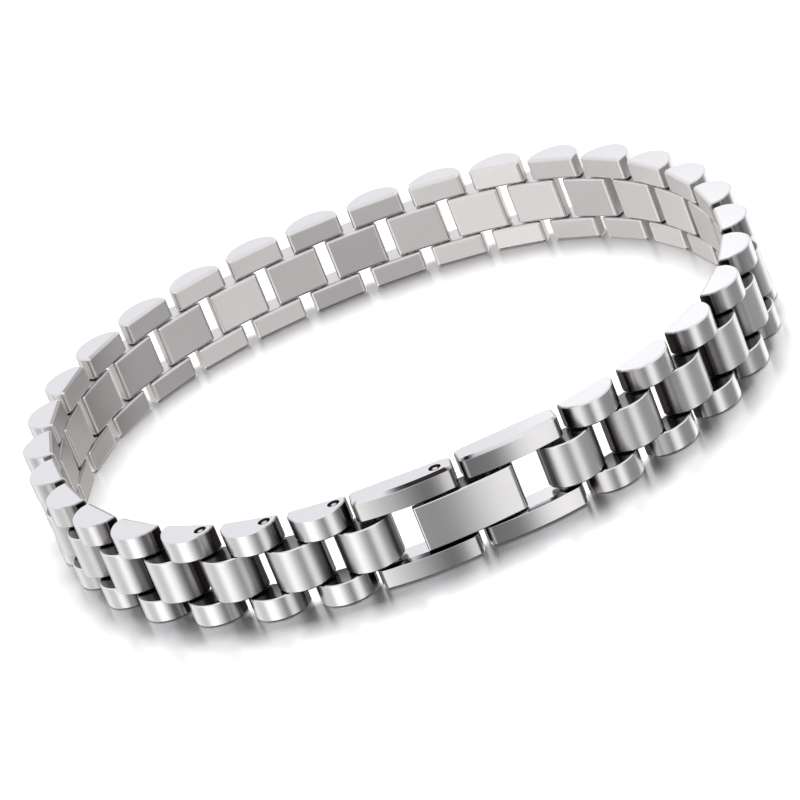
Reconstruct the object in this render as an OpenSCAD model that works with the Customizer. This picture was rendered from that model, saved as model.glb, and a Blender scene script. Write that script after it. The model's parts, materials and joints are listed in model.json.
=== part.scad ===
// Link bracelet, closed and standing on its edge.
// A row of domed centre links runs between two rows of domed side links, and a fold-over
// clasp closes the loop. Z is the axis of the loop, the clasp faces -Y, and the origin is
// the middle of the bracelet's box, on the surface that it stands on.

/* [Band] */
// Width of the band, across its three rows
band_w = 8; // [7:0.5:12]
// Number of side links between the two frames of the clasp
link_count = 29; // [23:1:35]
// Distance between neighbouring pins, along the band
pin_pitch = 2.905; // [2.8:0.005:3.1]
// Width of a side row
side_w = 2; // [1.8:0.1:2.3]
// Clearance between the centre row and each side row
row_gap = 0.1; // [0.08:0.01:0.2]

/* [Links] */
// Length of a link
link_len = 4.8; // [4.6:0.1:5]
// Thickness of a link, from its flat inner side to the top of its dome
link_t = 2.7; // [2.5:0.1:3]
// Depth of a link's straight ends
link_end = 0.95; // [0.8:0.05:1.1]
// Cut along the edges of a link's dome and ends
link_cut = 0.12; // [0.06:0.02:0.2]
// Cut along the edges of a link's inner side
link_inner_cut = 0.25; // [0.1:0.05:0.3]
// Rounding of a link's inner corners
link_corner = 0.3; // [0.1:0.05:0.35]

/* [Pins] */
// Radius of a pin
pin_r = 0.4; // [0.3:0.05:0.45]
// Running clearance round a pin in its bore
pin_play = 0.08; // [0.04:0.01:0.1]
// Depth of a pin's axis, from the inner side of the link
pin_in = 0.85; // [0.85:0.05:1.1]
// Number of links before the clasp that show the end of a pin
open_links = 3; // [0:1:6]
// Radius of the hole over a pin's end
hole_r = 0.5; // [0.45:0.05:0.6]
// Depth of the hole round a pin's end
hole_depth = 0.9; // [0.5:0.1:1.2]
// Depth of a pin's end below the edge of the band
pin_sunk = 0.1; // [0.05:0.05:0.4]

/* [Loop] */
// Difference from a circle: oval, as a share of the radius
oval = 0.0277; // [0:0.001:0.06]
// Direction of the oval's long axis
oval_turn = -14.7; // [-90:0.1:90]
// Difference from a circle: three-cornered, as a share of the radius
egg = 0.0065; // [0:0.0005:0.02]
// Direction of the first of the three corners
egg_turn = -3.4; // [-60:0.1:60]
// Difference from a circle: four-cornered, as a share of the radius
square = 0.0184; // [0:0.0005:0.025]
// Direction of the first of the four corners
square_turn = -38.8; // [-45:0.1:45]
// Direction of the clasp's middle
clasp_turn = -86.3; // [-100:0.1:-80]

/* [Clasp frames] */
// Length of the loop between the chain pins of the two frames
clasp_len = 14.4; // [14.2:0.05:15]
// Length of a frame's arm
arm_len = 8.4; // [7.8:0.1:8.5]
// Width of an arm, across the band
arm_w = 1.85; // [1.6:0.05:2]
// Thickness of an arm, from its flat inner side to the top of its dome
arm_t = 2.7; // [2.5:0.1:2.8]
// Depth of an arm's straight ends
arm_end = 2.25; // [2:0.05:2.4]
// Depth of a pin's axis, from the inner side of an arm
arm_pin_in = 1.15; // [0.85:0.05:1.2]
// Reach of the arms behind the chain pin, on the frame that carries the lever
hinge_tail = 1.6; // [1:0.05:1.7]
// Reach of the arms behind the chain pin, on the frame that carries the catch bar
catch_tail = 1.3; // [1:0.05:1.7]
// Width of the slope along the domes' edges, on the frame that carries the lever
hinge_slope = 0.6; // [0.2:0.05:0.8]
// Width of that slope, on the other frame
catch_slope = 0.45; // [0.2:0.05:0.8]
// Depth of that slope, and of the cut along the edges of an arm's ends
arm_cut = 0.18; // [0.1:0.02:0.24]
// Cut along the edges of an arm's inner side
arm_inner_cut = 0.3; // [0.1:0.05:0.35]
// Rounding of an arm's corners
arm_corner = 0.6; // [0.3:0.1:0.8]
// Turn of the frame that carries the lever, from the line between the chain pins
hinge_frame_turn = -6.9; // [-8:0.1:0]
// Turn of the frame that carries the catch bar, from the same line
catch_frame_turn = 2.6; // [0:0.1:4]

/* [Clasp lever] */
// Distance from the chain pin to the lever's hinge pin
hinge_at = 5.45; // [5.4:0.05:5.7]
// Turn of the lever, from the line between the chain pins
lever_turn = 1.6; // [0:0.1:3]
// Gap over the lever, under the upper arm
lever_play = 0.2; // [0.1:0.05:0.4]
// Reach of the lever's closing end from the hinge
lever_front = 5.7; // [5.5:0.1:6]
// Reach of the lever's short end from the hinge
lever_back = 2.85; // [2.4:0.05:3]
// Reach of the thick block towards the short end
block_back = 1.75; // [1.2:0.05:1.8]
// Depth of the lever's face outside the hinge axis
lever_out = 1.2; // [0.9:0.05:1.3]
// Depth of the lever's inner side inside the hinge axis
lever_in = 0.85; // [0.8:0.05:0.95]
// Thickness of the lever's short end
sheet_t = 0.85; // [0.6:0.05:1]
// Rounding of the closing end's outer edge
lever_round = 0.5; // [0.3:0.1:0.6]
// Cut along the lever's edges
lever_cut = 0.12; // [0.05:0.01:0.2]
// Distance from the hinge to the catch bar
catch_at = 4.25; // [4:0.05:4.4]
// Depth of the catch bar's axis inside the hinge axis
catch_in = 0.35; // [0.25:0.05:0.4]
// Clearance beside the catch bar in its notch
catch_side = 0.2; // [0.15:0.05:0.25]

/* [Hidden] */
$fn = 96;
side_nodes = [for (k = [1:link_count]) str("link_", k < 10 ? "0" : "", k)];

last_pin = 2*link_count + 1;
bore_r = pin_r + pin_play;
centre_z = side_w + row_gap;
centre_w = band_w - 2*centre_z;
lever_z = arm_w + row_gap; // the lever hangs low by its play
lever_w = band_w - arm_w - lever_play - lever_z;
bite = 0.3; // how far a pin runs into the piece that holds it
over = 1;   // how far a cutting body stands past the face that it cuts
far = 20;   // length of a cutting body that runs past the whole piece
corner_steps = 5;

// Loop of pins: a closed curve, stepped along at the pin pitch

// Radius of the loop in a direction, as a share of its mean radius
function loop_share(a) = 1 + oval*cos(2*(a - oval_turn)) + egg*cos(3*(a - egg_turn))
    + square*cos(4*(a - square_turn));
function share_point(a) = loop_share(a)*[cos(a), sin(a)];
loop_steps = 720;
function step_angle(i) = clasp_turn + i*360/loop_steps;
// Pairs of length along the curve and direction, from the clasp's middle and round
track = [for (i = 0, s = 0; i <= loop_steps;
              s = s + norm(share_point(step_angle(i + 1)) - share_point(step_angle(i))), i = i + 1)
         [s, step_angle(i)]];
loop_len = (last_pin*pin_pitch) + clasp_len;
mean_r = loop_len/track[loop_steps][0];
function pin_angle(k) = lookup((clasp_len/2 + k*pin_pitch)/mean_r, track);
function loop_pin(k) = mean_r*share_point(pin_angle(k));

// Radius of the dome over a bar of this length, thickness and end depth
function dome_r(len, t, end) = (len*len/4 + (t - end)*(t - end))/(2*(t - end));
function heading(a, b) = atan2(b.y - a.y, b.x - a.x);
// Unit vector out of the loop, beside a line that runs this way round it
function outward(turn) = [sin(turn), -cos(turn)];

chord_turn = heading(loop_pin(last_pin), loop_pin(0));
hinge_turn = chord_turn + hinge_frame_turn;
catch_turn = chord_turn + catch_frame_turn;
plate_turn = chord_turn + lever_turn;
hinge_mid = arm_len/2 - hinge_tail;
catch_mid = arm_len/2 - catch_tail;

// Middles of the dome circles, which set the box round the loop
link_dome_r = dome_r(link_len, link_t, link_end);
arm_dome_r = dome_r(arm_len, arm_t, arm_end);
link_domes = [for (k = [0:last_pin - 1])
    let (a = loop_pin(k), b = loop_pin(k + 1))
    (a + b)/2 + (link_t - pin_in - link_dome_r)*outward(heading(a, b))];
arm_domes = [
    loop_pin(last_pin) + hinge_mid*[cos(hinge_turn), sin(hinge_turn)]
        + (arm_t - arm_pin_in - arm_dome_r)*outward(hinge_turn),
    loop_pin(0) - catch_mid*[cos(catch_turn), sin(catch_turn)]
        + (arm_t - arm_pin_in - arm_dome_r)*outward(catch_turn)];
hinge_pin = loop_pin(last_pin) + hinge_at*[cos(hinge_turn), sin(hinge_turn)];
// The short end of the lever is the furthest point of the clasp
lever_tip = hinge_pin - (lever_back - lever_cut)*[cos(plate_turn), sin(plate_turn)]
    + lever_out*outward(plate_turn);
box_lo = [min([for (p = link_domes) p.x]) - link_dome_r,
          min(lever_tip.y, min([for (p = arm_domes) p.y]) - arm_dome_r,
              min([for (p = link_domes) p.y]) - link_dome_r)];
box_hi = [max([for (p = link_domes) p.x]) + link_dome_r,
          max([for (p = link_domes) p.y]) + link_dome_r];
box_mid = (box_lo + box_hi)/2;

function pin_at(k) = loop_pin(k) - box_mid;

// Puts children beside a line round the loop: Y points out of the loop, X back along the line
module beside(p, turn) {
    translate([p.x, p.y, 0])
        rotate(turn + 180)
            children();
}

// Puts children at the link between pins k and k + 1, with Y = 0 on its inner side
module at_link(k) {
    a = pin_at(k);
    b = pin_at(k + 1);
    beside((a + b)/2, heading(a, b))
        translate([0, -pin_in, 0])
            children();
}

// Parts of a circle's outline, as points from one direction to another
function arc_points(mid, r, from, to, steps) =
    [for (i = [0:steps]) let (a = from + i*(to - from)/steps) mid + r*[cos(a), sin(a)]];

// Bar with a flat inner side, straight ends and a domed outer side, all edges cut back.
// The cut along the dome is slope wide. The corners at the ends are rounded, the inner ones
// and those under the dome.
module domed_bar(len, t, end, h, corner, outer_corner, slope, cut, inner_cut) {
    r = dome_r(len, t, end);
    dome_y = t - r;
    x1 = len/2;
    round_y = dome_y + sqrt(pow(r - outer_corner, 2) - pow(x1 - outer_corner, 2));
    round_to = atan2(round_y - dome_y, x1 - outer_corner);
    half = concat(arc_points([x1 - corner, corner], corner, -90, 0, corner_steps),
                  arc_points([x1 - outer_corner, round_y], outer_corner, 0, round_to, corner_steps),
                  [[x1 - outer_corner + outer_corner*cos(round_to), t + over]]);
    intersection() {
        // dome
        translate([0, dome_y, 0])
            rotate_extrude()
                polygon([[0, 0], [r - slope, 0], [r, cut], [r, h - cut], [r - slope, h], [0, h]]);
        // inner side
        translate([-len, 0, 0])
            rotate([90, 0, 90])
                linear_extrude(2*len)
                    polygon([[0, inner_cut], [inner_cut, 0], [t + over, 0],
                             [t + over, h], [inner_cut, h], [0, h - inner_cut]]);
        // ends
        translate([0, t + over, 0])
            rotate([90, 0, 0])
                linear_extrude(t + 2*over)
                    polygon([[x1 - cut, 0], [x1, cut], [x1, h - cut], [x1 - cut, h],
                             [cut - x1, h], [-x1, h - cut], [-x1, cut], [cut - x1, 0]]);
        // corners
        linear_extrude(h)
            polygon(concat(half, [for (i = [len(half) - 1:-1:0]) [-half[i].x, half[i].y]]));
    }
}

module link_bar(h) {
    domed_bar(link_len, link_t, link_end, h, link_corner, link_cut, link_cut, link_cut,
              link_inner_cut);
}

// Pin at x along a link, between an upper and a lower piece of width w
module cross_pin(x, w) {
    translate([x, pin_in, w - bite])
        cylinder(r = pin_r, h = band_w - 2*w + 2*bite);
}

// Hole in the upper edge of the band, with the end of a pin sunk in it
module pin_window(x) {
    translate([x, pin_in, band_w - hole_depth])
        difference() {
            cylinder(r = hole_r, h = hole_depth + over);
            translate([0, 0, -over])
                cylinder(r = pin_r, h = hole_depth - pin_sunk + over);
        }
}

// Upper and lower side piece of link k with their two pins
module side_link(k) {
    at_link(2*k - 1)
        difference() {
            union() {
                link_bar(side_w);
                translate([0, 0, band_w - side_w])
                    link_bar(side_w);
                cross_pin(pin_pitch/2, side_w);
                cross_pin(-pin_pitch/2, side_w);
            }
            if (k > link_count - open_links)
                pin_window(-pin_pitch/2);
        }
}

// Centre piece that follows side link k, bored for the pins of both its neighbours
module centre_link(k) {
    at_link(2*k)
        translate([0, 0, centre_z])
            difference() {
                link_bar(centre_w);
                for (x = [-pin_pitch/2, pin_pitch/2])
                    translate([x, pin_in, -over])
                        cylinder(r = bore_r, h = centre_w + 2*over);
            }
}

module link(k) {
    color("silver") {
        side_link(k);
        centre_link(k);
    }
}

module first_centre_link() {
    color("silver")
        centre_link(0);
}

// Two arms, one over the other, with their middle at x and their domes' edges cut slope wide
module arms(x, slope) {
    for (z = [0, band_w - arm_w])
        translate([x, pin_in - arm_pin_in, z])
            domed_bar(arm_len, arm_t, arm_end, arm_w, arm_corner, arm_corner, slope, arm_cut,
                      arm_inner_cut);
}

// Frame at the end of the chain, with the pin that the lever turns on
module hinge_frame() {
    color("gainsboro")
        beside(pin_at(last_pin), hinge_turn)
            translate([0, -pin_in, 0])
                difference() {
                    union() {
                        arms(-hinge_mid, hinge_slope);
                        cross_pin(0, arm_w);
                        cross_pin(-hinge_at, arm_w);
                    }
                    pin_window(-hinge_at);
                }
}

// Frame at the start of the chain, with the bar that the lever closes on
module catch_frame() {
    color("gainsboro") {
        beside(pin_at(0), catch_turn)
            translate([0, -pin_in, 0]) {
                arms(catch_mid, catch_slope);
                cross_pin(0, arm_w);
            }
        at_lever()
            translate([-catch_at, -catch_in - pin_in, 0])
                cross_pin(0, arm_w);
    }
}

module at_lever() {
    beside(hinge_pin - box_mid, plate_turn)
        children();
}

// Cover plate on the hinge pin: a thick block that closes on the catch bar, and a thin
// short end that is pressed to open it
module clasp_lever() {
    c = lever_cut;
    notch = pin_r + catch_side;
    notch_top = pin_r - catch_in + catch_side/2;
    color("lightgray")
        at_lever()
            translate([0, 0, lever_z])
                difference() {
                    intersection() {
                        linear_extrude(lever_w)
                            polygon(concat(
                                [[block_back, -lever_in], [block_back, lever_out - sheet_t],
                                 [lever_back, lever_out - sheet_t], [lever_back, lever_out - c],
                                 [lever_back - c, lever_out]],
                                arc_points([lever_round - lever_front, lever_out - lever_round],
                                           lever_round, 90, 180, corner_steps),
                                [[-lever_front, c - lever_in], [c - lever_front, -lever_in]]));
                        // long edges of the face
                        translate([-far/2, lever_out, 0])
                            rotate([90, 0, 90])
                                linear_extrude(far)
                                    polygon([[0, c], [-c, 0], [-far, 0], [-far, lever_w],
                                             [-c, lever_w], [0, lever_w - c]]);
                    }
                    translate([0, 0, -over])
                        cylinder(r = bore_r, h = lever_w + 2*over);
                    // notch for the catch bar
                    translate([-catch_at - notch, -lever_in - over, -over])
                        cube([2*notch, over + notch_top + lever_in, lever_w + 2*over]);
                }
}

for (k = [1:link_count])
    link(k);
first_centre_link();
hinge_frame();
catch_frame();
clasp_lever();
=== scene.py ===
import json
import math
from collections import namedtuple

import bmesh
import bpy
import numpy as np
from bpy.props import FloatProperty, FloatVectorProperty, IntProperty, PointerProperty
from mathutils import Matrix, Vector


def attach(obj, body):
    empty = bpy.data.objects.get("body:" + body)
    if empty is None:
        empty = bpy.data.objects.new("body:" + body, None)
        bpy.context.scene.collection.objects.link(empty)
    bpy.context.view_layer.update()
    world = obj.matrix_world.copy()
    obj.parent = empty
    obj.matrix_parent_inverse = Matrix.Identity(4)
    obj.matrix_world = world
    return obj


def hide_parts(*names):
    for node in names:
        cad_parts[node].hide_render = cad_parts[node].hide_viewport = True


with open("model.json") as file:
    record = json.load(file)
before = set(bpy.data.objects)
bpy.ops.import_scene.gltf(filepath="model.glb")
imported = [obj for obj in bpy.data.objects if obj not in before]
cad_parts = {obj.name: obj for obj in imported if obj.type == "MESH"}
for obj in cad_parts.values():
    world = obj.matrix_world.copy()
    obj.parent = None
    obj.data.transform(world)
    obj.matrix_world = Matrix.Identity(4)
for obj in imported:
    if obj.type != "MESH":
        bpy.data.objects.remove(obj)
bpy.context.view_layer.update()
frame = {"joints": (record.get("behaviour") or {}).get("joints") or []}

bl_info = {
    "name": "Link Bracelet",
    "version": (1, 0, 0),
    "blender": (4, 5, 0),
    "location": "3D View > Sidebar > Bracelet",
    "description": "Makes a steel link bracelet with a fold-over clasp, and a small studio round it",
    "category": "Add Mesh",
}

MM = 0.001
BAND, LEVER = "band", "lever"
HINGE = Vector(next(j for j in frame["joints"] if j["child"] == LEVER)["pos_m"])

# Finishes of the faces, in the order of the material slots of every piece. The dull one, on the ends of
# links and in holes, has its colour painted dark as shade.
FINISHES = ("Lapped", "Brushed", "Satin", "Dull shaded")
LAPPED, BRUSHED, SATIN, DULL_SHADED = range(len(FINISHES))


def size(name, description, default):
    """A length in metres, given in millimetres."""
    return FloatProperty(name=name, description=description, default=default * MM, precision=5,
                         subtype="DISTANCE", unit="LENGTH")


def turn(name, description, default):
    """An angle, given in degrees."""
    return FloatProperty(name=name, description=description, default=math.radians(default),
                         subtype="ANGLE", unit="ROTATION")


def share(name, description, default):
    """A number between 0 and 1."""
    return FloatProperty(name=name, description=description, default=default, min=0, max=1,
                         precision=4, subtype="FACTOR")


def colour(name, description, *default):
    """A colour, given as its red, green and blue."""
    return FloatVectorProperty(name=name, description=description, default=default, subtype="COLOR",
                               size=3, min=0, max=1)


class LoopSizes(bpy.types.PropertyGroup):
    """The closed line that the pins stand on."""

    band_width: size("Band width", "Width of the band, across its three rows", 8)
    link_count: IntProperty(name="Links", description="Number of side links", default=29, min=1)
    pitch: size("Pitch", "Distance between neighbouring pins", 2.905)
    oval: share("Oval", "Two-cornered difference from a circle", 0.0277)
    oval_turn: turn("Oval turn", "Direction of the oval's long axis", -14.7)
    egg: share("Egg", "Three-cornered difference from a circle", 0.0065)
    egg_turn: turn("Egg turn", "Direction of the first of its corners", -3.4)
    square: share("Square", "Four-cornered difference from a circle", 0.0184)
    square_turn: turn("Square turn", "Direction of the first of its corners", -38.8)
    clasp_turn: turn("Clasp turn", "Direction of the clasp's middle", -86.3)
    clasp_length: size("Clasp length", "Stretch of the loop between the clasp's chain pins", 14.4)


class LinkSizes(bpy.types.PropertyGroup):
    """One domed link, its pins and the windows over their ends."""

    length: size("Length", "Length of a link", 4.8)
    thickness: size("Thickness", "From the flat inner side to the top of the dome", 2.7)
    end_depth: size("End depth", "Depth of the straight ends", 0.95)
    edge: size("Edge", "Rounding of the edges of the dome", 0.15)
    inner_edge: size("Inner edge", "Rounding of the edges of the inner side", 0.28)
    corner: size("Corner", "Rounding of the inner corners", 0.3)
    outer_corner: size("Outer corner", "Rounding where the ends meet the dome", 0.16)
    side_width: size("Side width", "Width of a side row", 2.0)
    row_gap: size("Row gap", "Clearance between two rows", 0.1)
    play: turn("Play", "Most that a link turns on its pins, either way", 0.5)
    pin_radius: size("Pin radius", "Radius of a pin", 0.4)
    pin_play: size("Pin play", "Clearance round a pin in its bore", 0.08)
    pin_depth: size("Pin depth", "From the inner side to the pin's axis", 0.85)
    pin_bite: size("Pin bite", "How far a pin runs into the piece that holds it", 0.3)
    open_links: IntProperty(name="Open links", description="Links with a window over a pin", default=3)
    window_radius: size("Window radius", "Radius of the hole over a pin", 0.5)
    window_depth: size("Window depth", "Depth of the hole over a pin", 0.9)
    pin_sunk: size("Pin sunk", "Depth of the pin's end below the edge", 0.1)
    rim: size("Rim", "Rounding of the rims of bores and windows", 0.05)
    pin_dome: size("Pin dome", "Rise of the domed ends of a pin", 0.05)


class ClaspSizes(bpy.types.PropertyGroup):
    """The two frames of the clasp and the lever between them."""

    arm_length: size("Arm length", "Length of a frame's arm", 8.4)
    arm_width: size("Arm width", "Width of an arm, across the band", 1.85)
    arm_thickness: size("Arm thickness", "From the inner side to the top of the dome", 2.7)
    arm_end: size("Arm end depth", "Depth of the straight ends", 2.25)
    arm_depth: size("Arm depth", "From the inner side of an arm to a pin's axis", 1.15)
    hinge_tail: size("Hinge tail", "Reach of the lever's frame behind its chain pin", 1.6)
    catch_tail: size("Catch tail", "Reach of the catch bar's frame behind its chain pin", 1.3)
    hinge_slope: size("Hinge slope", "Width of the slope along the lever frame's domes", 0.6)
    catch_slope: size("Catch slope", "Width of the slope along the other frame's domes", 0.45)
    arm_edge: size("Arm edge", "Depth of that slope, and rounding of the ends", 0.2)
    arm_inner_edge: size("Arm inner edge", "Rounding of the edges of the inner side", 0.32)
    arm_corner: size("Arm corner", "Rounding of the corners", 0.6)
    hinge_at: size("Hinge place", "From the chain pin to the hinge pin", 5.45)
    hinge_frame_turn: turn("Hinge frame turn", "Turn from the line between the chain pins", -6.9)
    catch_frame_turn: turn("Catch frame turn", "Turn from the line between the chain pins", 2.6)
    lever_turn: turn("Lever turn", "Turn from the line between the chain pins", 1.6)
    lever_play: size("Lever play", "Gap over the lever", 0.2)
    front: size("Closing end", "From the hinge to the closing end", 5.7)
    back: size("Short end", "From the hinge to the short end", 2.85)
    block_back: size("Block", "From the hinge to the back of the thick block", 1.75)
    outside: size("Outside", "From the hinge axis out to the face", 1.2)
    inside: size("Inside", "From the hinge axis in to the inner side", 0.85)
    sheet: size("Sheet", "Thickness of the short end", 0.85)
    front_round: size("Closing end rounding", "Rounding of the outer edge there", 0.5)
    lever_edge: size("Lever edge", "Rounding of the lever's edges", 0.14)
    crown: size("Crown", "Depth of the ends of the lever's face below its middle", 0.24)
    catch_at: size("Catch place", "From the hinge to the catch bar", 4.25)
    catch_inside: size("Catch depth", "From the hinge axis in to the catch bar", 0.35)
    catch_play: size("Catch play", "Clearance beside the catch bar", 0.2)


class SteelLooks(bpy.types.PropertyGroup):
    """Colour and finish of the steel."""

    metal: colour("Metal", "Colour of the bare steel", 0.735, 0.73, 0.735)
    inner_metal: colour("Inner metal", "Colour of the inner sides", 0.71, 0.69, 0.68)
    # The ends of links and the holes are painted dark as shade; on the far side this painted shade fades to
    # the far end colour
    shaded_end_metal: colour("Shaded end metal", "Colour of the ends of links and of holes", 0.24, 0.2, 0.185)
    far_end_metal: colour("Far end metal", "The same, away from the clasp", 0.7, 0.67, 0.65)
    lapped: share("Lapped", "Roughness of the flat upper and lower sides", 0.2)
    polished: share("Polished", "Roughness of the domes of the side rows", 0.27)
    brushed: share("Brushed", "Roughness of the domes of the centre row", 0.36)
    satin: share("Satin", "Roughness of the inner sides", 0.45)
    dull_shaded: share("Dull shaded", "Roughness of the ends of links and of holes", 0.38)
    plate: share("Plate", "Roughness of the lever", 0.28)


class StudioLooks(bpy.types.PropertyGroup):
    """Floor, light and camera."""

    floor: colour("Floor", "Colour of the floor", 0.95, 0.95, 0.95)
    gloss: share("Gloss", "How much of the floor's light is a reflection", 0.28)
    blur: share("Blur", "Roughness of the floor", 0.24)
    camera_distance: size("Camera distance", "From the camera to its aim", 382.53)
    camera_height: turn("Camera height", "Angle of the view above the floor", 24.284)
    camera_roll: turn("Camera roll", "Turn of the picture about the line of sight", -21.86)
    camera_aim: FloatVectorProperty(name="Camera aim", description="Point in the middle of the picture",
                                    default=(-0.644 * MM, -14.468 * MM, 8.0 * MM), precision=5,
                                    subtype="TRANSLATION", unit="LENGTH")
    lens: FloatProperty(name="Lens", description="Focal length", default=215.52, unit="CAMERA")


class BraceletSettings(bpy.types.PropertyGroup):
    """All sizes and looks of the bracelet and its studio."""

    loop: PointerProperty(type=LoopSizes)
    link: PointerProperty(type=LinkSizes)
    clasp: PointerProperty(type=ClaspSizes)
    steel: PointerProperty(type=SteelLooks)
    studio: PointerProperty(type=StudioLooks)


# The line of pins

LOOP_STEPS = 720


def loop_line(loop):
    """Points of the loop from the clasp's middle and round, and the way along it to each."""
    a = loop.clasp_turn + np.linspace(0, 2 * math.pi, LOOP_STEPS + 1)
    r = (1 + loop.oval * np.cos(2 * (a - loop.oval_turn)) + loop.egg * np.cos(3 * (a - loop.egg_turn))
         + loop.square * np.cos(4 * (a - loop.square_turn)))
    points = np.column_stack([r * np.cos(a), r * np.sin(a)])
    way = np.concatenate([[0], np.cumsum(np.linalg.norm(np.diff(points, axis=0), axis=1))])
    full = (2 * loop.link_count + 1) * loop.pitch + loop.clasp_length
    return points * full / way[-1], way * full / way[-1]


def way_to_pin(loop, k):
    """Way along the loop to pin k, counted round the loop from the clasp."""
    return loop.clasp_length / 2 + k * loop.pitch


class Layout:
    """Where the pins and the clasp's pieces are. The hinge pin brings the loop into the part's frame."""

    def __init__(self, settings):
        loop, clasp = settings.loop, settings.clasp
        self.loop = loop
        self.line, self.way = loop_line(loop)
        self.last = 2 * loop.link_count + 1
        chord = self.pin(0) - self.pin(self.last)
        chord_turn = math.atan2(chord.y, chord.x)
        self.hinge_turn = chord_turn + clasp.hinge_frame_turn
        self.catch_turn = chord_turn + clasp.catch_frame_turn
        self.lever_turn = chord_turn + clasp.lever_turn
        hinge = self.pin(self.last) + clasp.hinge_at * Vector((math.cos(self.hinge_turn),
                                                               math.sin(self.hinge_turn)))
        self.line = self.line + np.array(HINGE.xy - hinge)

    def pin(self, k):
        """Where pin k stands."""
        s = way_to_pin(self.loop, k)
        return Vector((np.interp(s, self.way, self.line[:, 0]), np.interp(s, self.way, self.line[:, 1])))


def beside(point, angle, out=0.0):
    """Places a piece beside a line that runs this way: its X runs back along it, its Y out of the loop."""
    return Matrix.Translation(point.to_3d()) @ Matrix.Rotation(angle + math.pi, 4, "Z") \
        @ Matrix.Translation((0, out, 0))


# Outlines of pieces

# A point of an outline, the way it faces, the rounding of the edge there, the finish of the side that
# starts there, and 1 where the edge is sloped instead of round
Point = namedtuple("Point", "x y facing edge finish sloped")

CORNER_STEPS = 6
DOME_STEPS = 30
# A sloped edge, ring by ring from the flat side: how far in, as a share of its width, how deep, as a
# share of its depth, and whether the ring lies on the slope itself
SLOPE = ((1, 0, False), (0.9, 0.03, True), (0.5, 0.33, True), (0.13, 0.6, True), (0.03, 0.8, False),
         (0, 1, False))
SLOPE_RUN = SLOPE[1][0] - SLOPE[3][0]
SLOPE_RISE = SLOPE[3][1] - SLOPE[1][1]

# Shade that neighbouring pieces give

# Along the side of a link or an arm, by the angle in degrees between the way it faces and outwards
END_SHADE = ((35, 0), (46, 0.35), (54, 0.78), (60, 0.5), (67, 0.9), (77, 0.55), (88, 0.88), (125, 0.88),
             (150, 0))
ARM_SHADE = ((12, 0), (32, 0.9), (44, 0.9), (56, 0.1), (70, 0.1), (84, 0.85), (125, 0.85), (150, 0))
# On the domes and the slopes of the clasp's arms, by the place in millimetres from their middle
HINGE_SHADE = ((-1, 0), (0.6, 0.22), (1.5, 0.42), (2.1, 0.45), (2.7, 0.33), (3.3, 0))
CATCH_SHADE = ((-3.6, 0.58), (-2.5, 0.4), (-1.6, 0.28), (-0.8, 0.15), (0.4, 0))
HINGE_SLOPE_SHADE = ((-1.6, 0), (-0.4, 0.9), (0.5, 1))
CATCH_SLOPE_SHADE = ((-3.4, 1), (-2.7, 0))
# On the end of a sunk pin, by the share of its radius
PIN_SHADE = ((0.38, 0), (0.7, 1))
# On the lower edges, near the floor, and on the rims of the bores that another row covers
LOW_SHADE = 0.9
BORE_SHADE = 0.8
# How much less of it lies on a covered top at the outer side than at the inner side
COVERED_FADE = 0.28


def arc(mid, radius, start, stop, steps, edge, last_edge=None, finish=LAPPED, sloped=(0, 0)):
    """Points of an arc, whose edge and slope change evenly from its first point to its last one."""
    last_edge = edge if last_edge is None else last_edge
    points = []
    for t in np.linspace(0, 1, steps + 1):
        a = start + (stop - start) * t
        points.append(Point(mid[0] + radius * math.cos(a), mid[1] + radius * math.sin(a), a,
                            edge + (last_edge - edge) * t, finish,
                            sloped[0] + (sloped[1] - sloped[0]) * t))
    return points


def ending(points, finish):
    """The same points, with this finish on the side that starts at the last of them."""
    return points[:-1] + [points[-1]._replace(finish=finish)]


def domed_outline(length, thickness, end_depth, corner, outer_corner, edge, inner_edge, sloped=0):
    """Bar with a flat inner side at Y = 0, straight ends and a domed outer side."""
    half, quarter = length / 2, math.pi / 2
    rise = thickness - end_depth
    radius = (half ** 2 + rise ** 2) / (2 * rise)
    dome_y = thickness - radius
    corner_x = half - outer_corner
    corner_y = dome_y + math.sqrt((radius - outer_corner) ** 2 - corner_x ** 2)
    tangent = math.atan2(corner_y - dome_y, corner_x)
    # The ends take the dull finish, whose colour is painted dark as shade
    right = (arc((half - corner, corner), corner, -quarter, 0, CORNER_STEPS, inner_edge, edge, DULL_SHADED)
             + arc((corner_x, corner_y), outer_corner, 0, tangent, CORNER_STEPS, edge,
                   sloped=(0, sloped))[:-1])
    dome = arc((0, dome_y), radius, tangent, math.pi - tangent, DOME_STEPS, edge, finish=BRUSHED,
               sloped=(sloped, sloped))
    left = (ending(arc((-corner_x, corner_y), outer_corner, math.pi - tangent, math.pi, CORNER_STEPS, edge,
                       sloped=(sloped, 0))[1:], DULL_SHADED)
            + ending(arc((corner - half, corner), corner, math.pi, 3 * quarter, CORNER_STEPS, edge,
                         inner_edge, DULL_SHADED), SATIN))
    return right + dome + left


def rounded_outline(corners, edge):
    """Straight-sided outline. Each corner is x, y, its rounding and the finish of the side after it."""
    points = []
    for i, (x, y, radius, finish) in enumerate(corners):
        here = Vector((x, y))
        before = (here - Vector(corners[i - 1][:2])).normalized()
        after = (Vector(corners[(i + 1) % len(corners)][:2]) - here).normalized()
        bend = math.atan2(before.x * after.y - before.y * after.x, before.dot(after))
        side = math.copysign(1, bend)
        first = here - before * radius * math.tan(abs(bend) / 2)
        start = math.atan2(-before.x, before.y)
        mid = first - side * radius * Vector((math.cos(start), math.sin(start)))
        for t in np.linspace(0, 1, CORNER_STEPS + 1):
            a = start + bend * t
            points.append(Point(mid.x + side * radius * math.cos(a), mid.y + side * radius * math.sin(a),
                                a, edge, finish if t == 1 else LAPPED, 0.0))
    return points


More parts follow.
